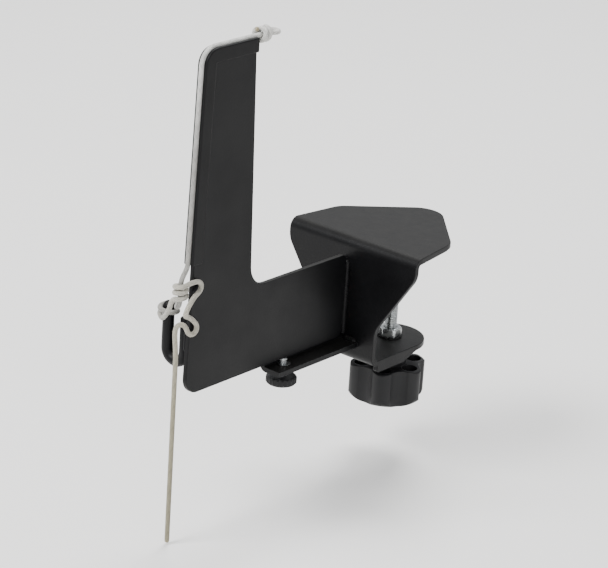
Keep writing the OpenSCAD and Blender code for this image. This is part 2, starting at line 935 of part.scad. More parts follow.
// Pressed-in cap with a low dome
module knob_cap() {
    dome_r = (cap_r * cap_r + cap_dome * cap_dome) / (2 * cap_dome);
    color("#2b2b2d")
    rotate_extrude()
        intersection() {
            translate([0, knob_low_z - cap_dome])
                square([cap_r, cap_t + cap_dome]);
            translate([0, knob_low_z - cap_dome + dome_r])
                circle(dome_r, $fn = 200);
        }
}

// ---------------------------------------------------------------- tension cord

// The cord's centre in its groove down the post's leaning outer edge, at a height
function cord_on_edge(z) = at([0, edge_at(z) + (guide_t + cord_r) / cos(post_lean), z]);

// The whole cord, from its stopper knot over the guide to the hook, back to its bow and down
stop_wind = lying_winding(post_in_top - 2, cord_top_z, wrap_r, wrap_pitch, stop_turns);
hitch_wind = winding(hook_out_x, hook_at, hitch_z, hitch_r, -wrap_pitch, hitch_from, hitch_sweep);
knot_wind = winding(knot_x, knot_out, knot_z, wrap_r, wrap_pitch, knot_from, knot_sweep);
mouth = at([0, post_in_top - 8, cord_top_z]);
corner_start = [0, guide_centre[1], cord_top_z];
corner_turn = [
    for (i = [0 : 10])
        let (angle = (90 - post_lean) * i / 10)
        guide_centre + cord_bend_r * [0, -sin(angle), cos(angle)]
];
edge_end = cord_on_edge(guide_end_z);
tail_start = at([knot_x, tail_out, -34]);
tail_end = at([knot_x, tail_out, tail_low_z]);
function last(p, back = 0) = p[len(p) - 1 - back];
cord_route = concat(
    stop_wind,
    curve(concat(
        [last(stop_wind, 1), last(stop_wind)], [for (p = stop_points) at(p)],
        [mouth, at([0, post_in_top - 4, cord_top_z])]
    ), 2),
    line(mouth, corner_start, 6),
    corner_turn,
    line(cord_on_edge(corner_turn[10][2] - 8), edge_end, 13),
    [edge_end],
    curve(concat(
        [cord_on_edge(guide_end_z + 4), edge_end], [for (p = drop_points) at(p)],
        [hitch_wind[0], hitch_wind[2]]
    ), 2),
    hitch_wind,
    curve(concat(
        [last(hitch_wind, 2), last(hitch_wind)], [for (p = return_points) at(p)],
        [knot_wind[0], knot_wind[2]]
    ), 3),
    knot_wind,
    curve(concat(
        [last(knot_wind, 2), last(knot_wind)], [for (p = ear_points) at(p)],
        [tail_start, tail_start + [0, 0, -8]]
    ), 2),
    line(tail_start, tail_end, 8),
    [tail_end]
);
echo("tension cord, least gap to itself in mm", least_gap(cord_route, cord_d));
echo("tension cord, length in mm", lengths(cord_route)[len(cord_route) - 1]);
echo("tension cord, rings", len(cord_route));

module tension_cord() {
    color("#c9c6bb")
    tube(cord_route, cord_r, cord_sides);
}

clamp_frame();
carrier_plate();
slide_liner();
upper_pad();
edge_pad();
jaw_nut();
height_bush();
post_plate();
cord_guide();
cord_hook();
guide_studs();
stud_washers();
stud_locknuts();
height_screw();
height_wheel();
pressure_cup();
pressure_pad();
clamp_spindle();
spindle_clip();
clamp_knob();
knob_insert();
knob_cap();
tension_cord();
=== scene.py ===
# %% [markdown]
# # A table tennis net clamp
#
# A folded steel frame is screwed to the edge of the table. A flat steel post stands beside it and
# carries the net's tension cord over its top, down its outer edge and round a hook. A small
# height screw under the post's arm sets the height of the net.
#
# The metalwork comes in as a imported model, and stays where it is. This lesson gives it real
# finishes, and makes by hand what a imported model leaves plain: the sheets' soft edges, the screws'
# threads, the lock nuts, the cord's guide, the hook, the rings of the rubber foot, the weld beads
# and the braid of the cord.

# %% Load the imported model
import math

import bmesh
import bpy
import numpy as np
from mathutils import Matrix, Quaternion, Vector


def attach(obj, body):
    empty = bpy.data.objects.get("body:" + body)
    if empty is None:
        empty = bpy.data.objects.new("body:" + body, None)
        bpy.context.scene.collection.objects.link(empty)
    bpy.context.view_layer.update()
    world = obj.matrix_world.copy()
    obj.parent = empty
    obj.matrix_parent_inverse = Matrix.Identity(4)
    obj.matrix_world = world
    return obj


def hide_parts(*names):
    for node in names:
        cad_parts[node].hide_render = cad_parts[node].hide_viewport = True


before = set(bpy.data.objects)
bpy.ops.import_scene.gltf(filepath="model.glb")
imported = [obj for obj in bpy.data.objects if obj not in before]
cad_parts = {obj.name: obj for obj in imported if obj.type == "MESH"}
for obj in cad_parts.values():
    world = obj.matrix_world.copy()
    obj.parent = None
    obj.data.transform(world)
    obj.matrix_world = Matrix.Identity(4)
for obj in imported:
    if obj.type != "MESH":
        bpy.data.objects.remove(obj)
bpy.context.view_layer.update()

# %% [markdown]
# ## The camera
#
# A clamp is small, so it is looked at through a long lens from a standing person's distance. The
# long lens keeps the uprights nearly parallel. A camera can be placed by hand, but naming the
# point it looks at keeps the turn and the tilt right when either end moves. It is rolled by a few
# degrees, because uprights lean like that when they stand off to one side of a wider view.

# %% Place the camera
eye, aim = Vector((0.934, -1.237, 0.553)), Vector((0.0011, -0.0906, -0.013))
roll = math.radians(3.8)
camera = bpy.data.objects.new("camera", bpy.data.cameras.new("camera"))
bpy.context.collection.objects.link(camera)
camera.location = eye
camera.rotation_mode = "QUATERNION"
level = (aim - eye).to_track_quat("-Z", "Y")
camera.rotation_quaternion = level @ Quaternion((0, 0, 1), roll)
camera.data.lens = 156
bpy.context.scene.camera = camera
print("camera", round((aim - eye).length, 3), "m from the clamp")

# %% [markdown]
# ## Where the cord runs
#
# The net's cord is a limp 3 mm braid. It comes out of the net's tape over a stopper knot, runs in
# the guide over the post's top and down its outer edge, takes one and a half turns round the
# hook, winds twice round itself, shows two small ears of a bow, and hangs down. A curve object
# could be drawn by hand, but the route is mostly straight runs, arcs and windings, so it is
# worked out: each run is a list of points, and smooth curves join them.

# %% Runs of the cord, in millimetres
screw_inset = 40.0
cord_radius = 1.5


def at(x, out, z):
    """A place by its distance outboard of the table's edge."""
    return np.array([x, -screw_inset - out, z], float)


def straight(start, end, steps):
    return [start + (end - start) * i / steps for i in range(steps)]


def smooth(points, steps):
    """Between the second and the last point but one; the outermost two only aim the ends."""
    out = []
    for i in range(1, len(points) - 2):
        a, b, c, d = points[i - 1 : i + 3]
        for t in np.arange(steps) / steps:
            out.append(
                0.5 * (2 * b + (c - a) * t + (2 * a - 5 * b + 4 * c - d) * t**2
                       + (3 * b - 3 * c + d - a) * t**3)
            )
    return out[1:]


def upright_winding(x, out, z, radius, rise, start, sweep):
    turns = np.linspace(0, sweep / 360, round(sweep / 5) + 1)
    angle = np.radians(start) + 2 * math.pi * turns
    return list(np.column_stack([
        x + radius * np.cos(angle), -screw_inset - out + radius * np.sin(angle), z + rise * turns
    ]))


def lying_winding(out, z, radius, step, turns):
    turn = np.linspace(0, turns, turns * 72 + 1)
    angle = math.pi / 2 + 2 * math.pi * turn
    return list(np.column_stack([
        radius * np.cos(angle), -screw_inset - out + step * turn, z + radius * np.sin(angle)
    ]))


print("cord", 2 * cord_radius, "mm thick")

# %% The whole route
lean = math.radians(1.7)
post_edge, post_top, corner_radius, guide_floor, hook_out = 147.0, 147.0, 6.0, 2.5, 148.5
cord_top = post_top + guide_floor + cord_radius
corner_out = post_edge - corner_radius * math.tan((math.pi / 2 - lean) / 2)
bend_radius = corner_radius + guide_floor + cord_radius
bend_centre = at(0, corner_out, post_top - corner_radius)


def beside_edge(z):
    out = post_edge + (post_top - z) * math.tan(lean) + (guide_floor + cord_radius) / math.cos(lean)
    return at(0, out, z)


# a turn's radius leaves room for the cord inside it, and its step clears the turn before
wound, step = 3.5, 3.6
stopper = lying_winding(105, cord_top, wound, step, turns=2)
stopper_out = [
    (-1.6, 97.1, 154.25), (-2.9, 95.3, 153.1), (-3.6, 93, 151.9), (-3.5, 90.9, 151.2),
    (-2.5, 88.9, 150.9), (-0.5, 88, 150.8), (1.5, 88.9, 150.8), (2.4, 91, 150.9), (2, 93.5, 151),
    (0.7, 96, 151),
]
drop = [
    (-0.3, 156, 20.5), (-0.8, 157.8, 17), (-1, 158.5, 13.5), (-1, 158.5, 9), (-1, 158.5, 4.5),
    (-2.4, 157.6, 0.4), (-5.4, 155.3, -2.6), (-9.5, 151.8, -4.6), (-13.2, 147.4, -6),
]
hitch = upright_winding(-18.4, hook_out, -7, radius=5.25, rise=-step, start=60, sweep=540)
back_up = [
    (-17, 155.6, -12.8), (-12.5, 157.9, -9.4), (-8, 159.9, -3.8), (-5.9, 161.1, 0.2),
    (-4.3, 161.7, 3.1),
]
knot = upright_winding(-1, 158.5, 5, radius=wound, rise=step, start=250, sweep=825)
ears = [
    (3.1, 155, 14.2), (3.4, 152, 14.3), (3.4, 149.2, 14), (3.4, 146.9, 12.8), (3.4, 146, 10.7),
    (3.6, 146.9, 8.5), (4.2, 149.2, 7.3), (5.2, 152.2, 7), (6.1, 155.4, 5.8), (6.3, 158.4, 3),
    (5.6, 160, -1), (4.2, 159.2, -4.4), (3.5, 156.5, -5.8), (3.4, 153, -8), (3.4, 150.6, -10.3),
    (3.4, 148.7, -12.4), (3.4, 148.1, -14.9), (3.4, 149.2, -17.1), (3.4, 151.5, -17.9),
    (3.4, 154, -17.2), (3.4, 155.7, -15.5), (3.3, 156.7, -13.4), (2.8, 157.7, -11.4),
    (1.4, 159.2, -10.3), (0, 160.8, -11.2), (-0.7, 161.6, -13.7), (-0.9, 161.6, -17.7),
    (-1, 160.9, -22.4), (-1, 160.3, -27.4),
]
mouth, corner_start = at(0, 99, cord_top), at(0, corner_out, cord_top)
guide_end_height = 24.0
turn = np.linspace(0, math.pi / 2 - lean, 31)
corner = [bend_centre + bend_radius * np.array([0, -math.sin(a), math.cos(a)]) for a in turn]
guide_end = beside_edge(guide_end_height)
tail_top, tail_end = at(-1, 160, -34), at(-1, 160, -149.6)

route = np.array(
    stopper
    + smooth([stopper[-4], stopper[-1]] + [at(*p) for p in stopper_out]
             + [mouth, at(0, 103, cord_top)], 8)
    + straight(mouth, corner_start, 20)
    + corner
    + straight(beside_edge(corner[-1][2] - 4), guide_end, 40) + [guide_end]
    + smooth([beside_edge(guide_end_height + 4), guide_end] + [at(*p) for p in drop]
             + [hitch[0], hitch[6]], 8)
    + hitch
    + smooth([hitch[-7], hitch[-1]] + [at(*p) for p in back_up] + [knot[0], knot[6]], 10)
    + knot
    + smooth([knot[-7], knot[-1]] + [at(*p) for p in ears] + [tail_top, tail_top - [0, 0, 8]], 8)
    + straight(tail_top, tail_end, 20) + [tail_end]
)


def evenly(points, step):
    along = np.concatenate([[0], np.cumsum(np.linalg.norm(np.diff(points, axis=0), axis=1))])
    places = np.linspace(0, along[-1], round(along[-1] / step) + 1)
    return np.column_stack([np.interp(places, along, points[:, k]) for k in range(3)]), places


def ease(points, step, reach):
    """Each point as the average of those near it, so that no joint of two runs is a kink."""
    near = round(4 * reach / step)
    weight = np.exp(-0.5 * (np.arange(-near, near + 1) * step / reach) ** 2)
    before, after = 2 * points[0] - points[near:0:-1], 2 * points[-1] - points[-2 : -near - 2 : -1]
    padded = np.vstack([before, points, after])
    return np.column_stack([
        np.convolve(padded[:, k], weight / weight.sum(), "valid") for k in range(3)
    ])


centre_line, along_cord = evenly(ease(evenly(route, 0.3)[0], 0.3, 0.8), 0.3)
print("cord length", round(along_cord[-1], 1), "mm in", len(centre_line), "rings")

# %% [markdown]
# ## Adding shader nodes
#
# Every finish here is a small tree of shader nodes. Blender's own calls need a line for the node,
# one for each setting and one for each link. One helper does all three, so that a finish reads as
# a list of what it is made of. Colours are written as the hex values a painter would pick on a
# screen, and one function turns them into the linear light that the renderer works in.

# %% Helpers for finishes
def light(hex_colour):
    """An sRGB hex colour as linear red, green, blue and alpha."""
    parts = [int(hex_colour[i : i + 2], 16) / 255 for i in (1, 3, 5)]
    return [c / 12.92 if c <= 0.04045 else ((c + 0.055) / 1.055) ** 2.4 for c in parts] + [1.0]


def add(tree, kind, settings=None, links=None):
    """A shader node with its settings, and with other nodes' outputs linked to its sockets."""
    node = tree.nodes.new("ShaderNode" + kind)
    for name, value in (settings or {}).items():
        if isinstance(name, str) and hasattr(node, name):
            setattr(node, name, value)
        else:
            node.inputs[name].default_value = value
    for name, source in (links or {}).items():
        tree.links.new(source, node.inputs[name])
    return node


def new_finish(name):
    """A material with its shader, and the place on the piece in metres."""
    finish = bpy.data.materials.new(name)
    finish.use_nodes = True
    tree = finish.node_tree
    tree.nodes.clear()
    shader = add(tree, "BsdfPrincipled")
    add(tree, "OutputMaterial", {}, {"Surface": shader.outputs["BSDF"]})
    return finish, tree, shader, add(tree, "TexCoord").outputs["Object"]


def give(finish, *names):
    for name in names:
        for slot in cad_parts[name].material_slots:
            slot.material = finish
    print(finish.name, "on", ", ".join(names))


# %% [markdown]
# ## Powder coat
#
# The frame, the carrier, the post and the hook are mild steel under satin black powder coat. The
# powder melts into a skin with a faint orange peel about a millimetre across, which breaks up the
# reflections. It rubs thin along the edges, where it turns greyer and shinier, and dust settles on
# what faces up. The rubbed edges could be painted by hand, but comparing the true normal with the
# normal of slightly rounded edges finds them on any shape.

# %% Satin black powder coat
def powder_coat(name, deep, thin, peel_height, rub_grey):
    finish, tree, shader, place = new_finish(name)
    # orange peel, a little over a millimetre across
    peel = add(tree, "TexNoise", {"Scale": 800, "Detail": 2, "Roughness": 0.45}, {"Vector": place})
    cloud = add(tree, "TexNoise", {"Scale": 28, "Detail": 4, "Roughness": 0.6}, {"Vector": place})
    colour = add(tree, "Mix", {"data_type": "RGBA", 6: light(deep), 7: light(thin)},
                 {0: cloud.outputs["Fac"]})
    # edges within half a millimetre, broken up by chips about two millimetres apart
    rounded = add(tree, "Bevel", {"samples": 6, "Radius": 0.0005})
    surface = add(tree, "NewGeometry")
    same = add(tree, "VectorMath", {"operation": "DOT_PRODUCT"},
               {0: rounded.outputs["Normal"], 1: surface.outputs["Normal"]})
    edge = add(tree, "MapRange", {"From Min": 0.995, "From Max": 0.88},
               {"Value": same.outputs["Value"]})
    chips = add(tree, "TexNoise", {"Scale": 420, "Detail": 4, "Roughness": 0.7}, {"Vector": place})
    rub = add(tree, "MapRange", {"From Min": 0.46, "From Max": 0.66},
              {"Value": chips.outputs["Fac"]})
    worn = add(tree, "Math", {"operation": "MULTIPLY"},
               {0: edge.outputs["Result"], 1: rub.outputs["Result"]})
    rubbed = add(tree, "Mix", {"data_type": "RGBA", 7: light(rub_grey)},
                 {0: worn.outputs["Value"], 6: colour.outputs[2]})
    # dust on what faces up
    facing = add(tree, "SeparateXYZ", {}, {0: surface.outputs["Normal"]})
    up = add(tree, "MapRange", {"From Min": 0.6, "From Max": 1.0, "To Max": 0.06},
             {"Value": facing.outputs["Z"]})
    motes = add(tree, "TexNoise", {"Scale": 160, "Detail": 6, "Roughness": 0.75}, {"Vector": place})
    dust = add(tree, "Math", {"operation": "MULTIPLY"},
               {0: up.outputs["Result"], 1: motes.outputs["Fac"]})
    dusted = add(tree, "Mix", {"data_type": "RGBA", 7: light("#8b877e")},
                 {0: dust.outputs["Value"], 6: rubbed.outputs[2]})
    sheen = add(tree, "MapRange", {"From Min": 0.3, "From Max": 0.7, "To Min": 0.36, "To Max": 0.5},
                {"Value": cloud.outputs["Fac"]})
    polished = add(tree, "Mix", {"data_type": "FLOAT", 3: 0.28},
                   {0: worn.outputs["Value"], 2: sheen.outputs["Result"]})
    bump = add(tree, "Bump", {"Strength": 0.34, "Distance": peel_height},
               {"Height": peel.outputs["Fac"]})
    tree.links.new(dusted.outputs[2], shader.inputs["Base Color"])
    tree.links.new(polished.outputs[0], shader.inputs["Roughness"])
    tree.links.new(bump.outputs["Normal"], shader.inputs["Normal"])
    shader.inputs["IOR"].default_value = 1.42
    # satin from matting agents, which scatter half of what the bare resin would mirror
    shader.inputs["Specular IOR Level"].default_value = 0.22
    return finish


frame_coat = powder_coat("powder_coated_frame_steel", "#070708", "#0e0e10", 0.00025, "#48494b")
post_coat = powder_coat("powder_coated_post_steel", "#060607", "#0c0c0e", 0.00014, "#48494b")
bead_coat = powder_coat("powder_coated_weld_bead", "#070708", "#0e0e10", 0.00008, "#0e0e10")

# %% [markdown]
# ## Zinc plate
#
# The screws, nuts, washers and the pressure cup are steel with a bright zinc plate. Zinc is a
# metal, so its colour is in its reflections: a cool grey, slightly cloudy from the chromate dip,
# and neither mirror bright nor dull.

# %% Bright zinc plate
zinc_plate, tree, shader, place = new_finish("bright_zinc_plated_steel")
cloud = add(tree, "TexNoise", {"Scale": 260, "Detail": 4, "Roughness": 0.6}, {"Vector": place})
tint = add(tree, "Mix", {"data_type": "RGBA", 6: light("#a9adb2"), 7: light("#c9cac6")},
           {0: cloud.outputs["Fac"]})
gloss = add(tree, "MapRange", {"From Min": 0.3, "From Max": 0.7, "To Min": 0.2, "To Max": 0.4},
            {"Value": cloud.outputs["Fac"]})
grain = add(tree, "TexNoise", {"Scale": 2400, "Detail": 2}, {"Vector": place})
bump = add(tree, "Bump", {"Strength": 0.2, "Distance": 0.00003}, {"Height": grain.outputs["Fac"]})
tree.links.new(tint.outputs[2], shader.inputs["Base Color"])
tree.links.new(gloss.outputs["Result"], shader.inputs["Roughness"])
tree.links.new(bump.outputs["Normal"], shader.inputs["Normal"])
shader.inputs["Metallic"].default_value = 1.0

# %% [markdown]
# ## Moulded nylon
#
# The knob, the height wheel, the cord's guide and the knob's cap are moulded in black nylon. The
# mould is spark eroded, which leaves a fine grain about half a millimetre across. The grain makes
# the highlight broad and soft, and hands polish it on the lobes' edges.

# %% Black moulded nylon
def moulded_nylon(name, deep, pale, grain_size, rough, shine):
    finish, tree, shader, place = new_finish(name)
    grain = add(tree, "TexVoronoi",
                {"feature": "SMOOTH_F1", "Scale": 1 / grain_size, "Smoothness": 0.6},
                {"Vector": place})
    flow = add(tree, "TexNoise", {"Scale": 45, "Detail": 3, "Roughness": 0.55}, {"Vector": place})
    colour = add(tree, "Mix", {"data_type": "RGBA", 6: light(deep), 7: light(pale)},
                 {0: flow.outputs["Fac"]})
    rounded = add(tree, "Bevel", {"samples": 6, "Radius": 0.0006})
    surface = add(tree, "NewGeometry")
    same = add(tree, "VectorMath", {"operation": "DOT_PRODUCT"},
               {0: rounded.outputs["Normal"], 1: surface.outputs["Normal"]})
    edge = add(tree, "MapRange", {"From Min": 0.995, "From Max": 0.9},
               {"Value": same.outputs["Value"]})
    gloss = add(tree, "MapRange",
                {"From Min": 0.3, "From Max": 0.7, "To Min": rough, "To Max": rough + 0.12},
                {"Value": flow.outputs["Fac"]})
    handled = add(tree, "Mix", {"data_type": "FLOAT", 3: rough - 0.14},
                  {0: edge.outputs["Result"], 2: gloss.outputs["Result"]})
    bump = add(tree, "Bump", {"Strength": 0.3, "Distance": 0.00006},
               {"Height": grain.outputs["Distance"], "Normal": rounded.outputs["Normal"]})
    tree.links.new(colour.outputs[2], shader.inputs["Base Color"])
    tree.links.new(handled.outputs[0], shader.inputs["Roughness"])
    tree.links.new(bump.outputs["Normal"], shader.inputs["Normal"])
    shader.inputs["IOR"].default_value = 1.53
    # the eroded grain scatters part of what smooth nylon would mirror
    shader.inputs["Specular IOR Level"].default_value = shine
    return finish


knob_nylon = moulded_nylon("grained_black_nylon", "#0d0d0e", "#161618", 0.0006, 0.48, 0.28)
guide_nylon = moulded_nylon("smooth_black_nylon", "#070708", "#0e0e0f", 0.0004, 0.42, 0.15)
give(knob_nylon, "clamp_knob", "height_wheel")

# %% [markdown]
# ## Rubber, nylon sheet, brass and spring steel
#
# The pads are matt black rubber, dusty and slightly porous. The liner between the carrier and the
# arm is a natural nylon sheet, milky and a little waxy. The knob's threaded insert is turned
# brass, and the snap ring is phosphated spring steel, nearly black.

# %% Matt black rubber
pad_rubber, tree, shader, place = new_finish("matt_black_rubber")
pores = add(tree, "TexNoise", {"Scale": 1100, "Detail": 5, "Roughness": 0.75}, {"Vector": place})
bloom = add(tree, "TexNoise", {"Scale": 60, "Detail": 5, "Roughness": 0.65}, {"Vector": place})
colour = add(tree, "Mix", {"data_type": "RGBA", 6: light("#19191a"), 7: light("#323130")},
             {0: bloom.outputs["Fac"]})
dull = add(tree, "MapRange", {"To Min": 0.72, "To Max": 0.92}, {"Value": bloom.outputs["Fac"]})
bump = add(tree, "Bump", {"Strength": 0.7, "Distance": 0.00025}, {"Height": pores.outputs["Fac"]})
tree.links.new(colour.outputs[2], shader.inputs["Base Color"])
tree.links.new(dull.outputs["Result"], shader.inputs["Roughness"])
tree.links.new(bump.outputs["Normal"], shader.inputs["Normal"])
shader.inputs["IOR"].default_value = 1.52

# %% Natural nylon sheet
nylon_sheet, tree, shader, place = new_finish("natural_nylon_sheet")
cloud = add(tree, "TexNoise", {"Scale": 70, "Detail": 4, "Roughness": 0.6}, {"Vector": place})
milky = add(tree, "Mix", {"data_type": "RGBA", 6: light("#c9c4b2"), 7: light("#dedacb")},
            {0: cloud.outputs["Fac"]})
waxy = add(tree, "MapRange", {"To Min": 0.34, "To Max": 0.56}, {"Value": cloud.outputs["Fac"]})
tree.links.new(milky.outputs[2], shader.inputs["Base Color"])
tree.links.new(waxy.outputs["Result"], shader.inputs["Roughness"])
shader.inputs["IOR"].default_value = 1.53
shader.inputs["Subsurface Weight"].default_value = 0.2
shader.inputs["Subsurface Scale"].default_value = 0.001

# %% Turned brass
turned_brass, tree, shader, place = new_finish("turned_brass")
height = add(tree, "SeparateXYZ", {}, {0: place})
# tool marks a fifth of a millimetre apart
marks = add(tree, "TexNoise", {"noise_dimensions": "1D", "Scale": 5000, "Detail": 1},
            {"W": height.outputs["Z"]})
patina = add(tree, "TexNoise", {"Scale": 300, "Detail": 4}, {"Vector": place})
colour = add(tree, "Mix", {"data_type": "RGBA", 6: light("#b08f4c"), 7: light("#d0b06a")},
             {0: patina.outputs["Fac"]})
gloss = add(tree, "MapRange", {"To Min": 0.22, "To Max": 0.42}, {"Value": patina.outputs["Fac"]})
bump = add(tree, "Bump", {"Strength": 0.3, "Distance": 0.00003}, {"Height": marks.outputs["Fac"]})
tree.links.new(colour.outputs[2], shader.inputs["Base Color"])
tree.links.new(gloss.outputs["Result"], shader.inputs["Roughness"])
tree.links.new(bump.outputs["Normal"], shader.inputs["Normal"])
shader.inputs["Metallic"].default_value = 1.0

# %% Phosphated spring steel
spring_steel, tree, shader, place = new_finish("phosphated_spring_steel")
crystals = add(tree, "TexNoise", {"Scale": 3000, "Detail": 3}, {"Vector": place})
colour = add(tree, "Mix", {"data_type": "RGBA", 6: light("#2b2c2e"), 7: light("#3d3e40")},
             {0: crystals.outputs["Fac"]})
dull = add(tree, "MapRange", {"To Min": 0.45, "To Max": 0.65}, {"Value": crystals.outputs["Fac"]})
tree.links.new(colour.outputs[2], shader.inputs["Base Color"])
tree.links.new(dull.outputs["Result"], shader.inputs["Roughness"])
shader.inputs["Metallic"].default_value = 1.0

# %% [markdown]
# ## Meshes from rings
#
# Turned, threaded and braided pieces are all a stack of rings. Blender's cylinder and screw
# modifier can make some of them, but a list of rings makes every one, and each point of a ring
# can be pushed in or out on its own. One helper joins the rings into a closed skin.

# %% Make a mesh from rings of points
def skin(name, *shells):
    """A closed mesh over each run of rings, which are given in millimetres."""
    points, faces = [], []
    for rings in shells:
        count, sides = rings.shape[:2]
        index = len(points) + np.arange(count * sides).reshape(count, sides)
        if np.allclose(rings[0], rings[-1]):
            index[-1] = index[0]
            count -= 1
        else:
            faces += [index[0][::-1].tolist(), index[-1].tolist()]
        turned = np.roll(index, -1, axis=1)
        walls = np.stack([index[:-1], turned[:-1], turned[1:], index[1:]], axis=-1)
        faces += walls.reshape(-1, 4).tolist()
        points += (rings[:count].reshape(-1, 3) / 1000).tolist()
    mesh = bpy.data.meshes.new(name)
    mesh.from_pydata(points, [], faces)
    mesh.polygons.foreach_set("use_smooth", [True] * len(mesh.polygons))
    mesh.set_sharp_from_angle(angle=math.radians(75))
    piece = bpy.data.objects.new(name, mesh)
    bpy.context.collection.objects.link(piece)
    print(name, len(mesh.vertices), "points")
    return piece


def place_on(piece, body, slot, finish, *nodes):
    """Puts a piece on its body, in its finish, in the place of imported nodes."""
    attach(piece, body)
    if nodes:
        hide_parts(*nodes)
    piece.data.materials.append(finish)


# %% [markdown]
# ## Soft edges on the sheet metal
#
# No real sheet has a knife edge: the punch rolls one side over, and the coat fills the other. A
# thin bright line runs along such an edge, and it is what makes a part look solid. A Bevel
# modifier needs clean faces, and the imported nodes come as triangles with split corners. So each
# sheet is copied, its triangles are joined back into flat faces, every edge is rounded by a few
# tenths of a millimetre, and the copy takes the node's place.

# %% Round the edges of a copied node
def keep_flat(piece, keep_sharp):
    """Shades the large faces flat, so that only the small ones between them look round."""
    flat = piece.modifiers.new("flat_faces_stay_flat", "WEIGHTED_NORMAL")
    flat.mode, flat.weight, flat.keep_sharp = "FACE_AREA", 60, keep_sharp


def soft_edged(node, name, width, joined=0.002):
    """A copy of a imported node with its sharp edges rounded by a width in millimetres."""
    made = bmesh.new()
    made.from_mesh(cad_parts[node].data)
    bmesh.ops.remove_doubles(made, verts=made.verts, dist=joined / 1000)
    bmesh.ops.dissolve_limit(
        made, angle_limit=math.radians(0.5), verts=made.verts, edges=made.edges)
    sharp = [edge for edge in made.edges if edge.calc_face_angle(0) > math.radians(35)]
    bmesh.ops.bevel(
        made, geom=sharp, offset=width / 1000, segments=2, profile=0.5, affect="EDGES",
        clamp_overlap=True)
    for face in made.faces:
        face.smooth = True
    mesh = bpy.data.meshes.new(name)
    made.to_mesh(mesh)
    made.free()
    for layer in ("custom_normal", "sharp_edge", "sharp_face"):
        if layer in mesh.attributes:
            mesh.attributes.remove(mesh.attributes[layer])
    piece = bpy.data.objects.new(name, mesh)
    bpy.context.collection.objects.link(piece)
    keep_flat(piece, keep_sharp=False)
    print(name, len(sharp), "edges rounded")
    return piece


soft_edges = [
    ("clamp_frame", "folded_clamp_frame", 0.4, "clamp", "frame_steel", frame_coat),
    ("carrier_plate", "folded_carrier_plate", 0.3, "clamp", "frame_steel", frame_coat),
    ("post_plate", "punched_post_plate", 0.35, "post", "post_steel", post_coat),
    ("slide_liner", "cut_slide_liner", 0.15, "clamp", "liner_nylon", nylon_sheet),
    ("upper_pad", "cut_upper_pad", 0.3, "clamp", "pad_rubber", pad_rubber),
    ("edge_pad", "cut_edge_pad", 0.3, "clamp", "pad_rubber", pad_rubber),
    ("stud_washers", "stamped_stud_washers", 0.2, "post", "zinc_steel", zinc_plate),
    ("height_bush", "turned_height_bush", 0.2, "clamp", "zinc_steel", zinc_plate),
    ("pressure_cup", "turned_pressure_cup", 0.3, "foot", "zinc_steel", zinc_plate),
    ("spindle_clip", "stamped_spindle_clip", 0.08, "screw", "spring_steel", spring_steel),
    ("knob_insert", "turned_knob_insert", 0.2, "screw", "insert_brass", turned_brass),
    ("knob_cap", "moulded_knob_cap", 0.2, "screw", "guide_nylon", guide_nylon),
]
for node, name, width, body, slot, finish in soft_edges:
    piece = soft_edged(node, name, width)
    piece.data.materials.clear()
    place_on(piece, body, slot, finish, node)

# %% [markdown]
# ## Threads
#
# The imported screws are plain rods, because a thread is heavy in a model and adds nothing to how
# the clamp moves. A real screw shows its thread wherever it leaves a nut. A bump map would not
# change the outline, so the thread is cut in the mesh: a rod of many thin rings, each point of which
# is pushed in where the groove of a right-hand thread passes. The groove fades out over one pitch at
# each end, as a rolled thread does.

# %% Cut a right-hand metric thread
def threaded_rod(profile, pitch, low, high, sides=48):
    """Rings up a turned profile of (height, radius), with a thread between two heights."""
    levels = []
    for (z0, r0), (z1, r1) in zip(profile, profile[1:]):
        steps = max(1, round(10 * (z1 - z0) / pitch)) if z1 > low and z0 < high else 1
        levels += [(z0 + (z1 - z0) * i / steps, r0 + (r1 - r0) * i / steps) for i in range(steps)]
    z, core = np.array(levels + [profile[-1]]).T[..., None]
    angle = np.linspace(0, 2 * math.pi, sides, endpoint=False)[None, :]
    # metric form, as shares of the pitch: flat crest, flat root and the depth between them
    crest, root, depth = 1 / 8, 1 / 4, 0.613
    from_root = np.abs((z / pitch - angle / (2 * math.pi)) % 1 - 0.5)
    rim = 0.5 - crest / 2
    groove = np.clip((rim - from_root) / (rim - root / 2), 0, 1) * depth * pitch
    fade = np.clip((z - low) / pitch, 0, 1) * np.clip((high - z) / pitch, 0, 1)
    radius = core - np.minimum(groove * fade, core * 0.4)
    return np.stack([radius * np.cos(angle), radius * np.sin(angle), z + 0 * angle], axis=-1)


# %% Thread the clamp spindle, M8
spindle = skin("threaded_clamp_spindle", threaded_rod(
    [(-101, 3.2), (-100.2, 4), (-34, 4), (-33.15, 3.4), (-33.15, 3), (-27.45, 3), (-27.45, 2.4),
     (-26.55, 2.4), (-26.55, 3), (-24.8, 3), (-24.3, 2.6)], pitch=1.25, low=-100.5, high=-35.5))
place_on(spindle, "screw", "zinc_steel", zinc_plate, "clamp_spindle")

# %% Thread the height screw, M6
height_screw_out = 65
height_screw = threaded_rod(
    [(-73.5, 2.4), (-73, 3), (-57.6, 3), (-57.1, 2.5)], pitch=1, low=-68, high=-57.3)
height_screw += np.array([0, -screw_inset - height_screw_out, 0])
place_on(skin("threaded_height_screw", height_screw), "height_adjuster", "zinc_steel", zinc_plate,
         "height_screw")

# %% Thread the two studs, M6
def lying(rings, out, z):
    """Turns upright rings so that their axis lies across the arm, at a place on it."""
    return np.roll(rings, 1, axis=-1) + np.array([0, -screw_inset - out, z])


stud_places = [(28, -30), (90, -30)]
stud = threaded_rod([(-15.4, 2.5), (-14.9, 3), (-1.5, 3)], pitch=1, low=-15.1, high=-6)
studs = skin("threaded_guide_studs", *[lying(stud, *place) for place in stud_places])
place_on(studs, "post", "zinc_steel", zinc_plate, "guide_studs")

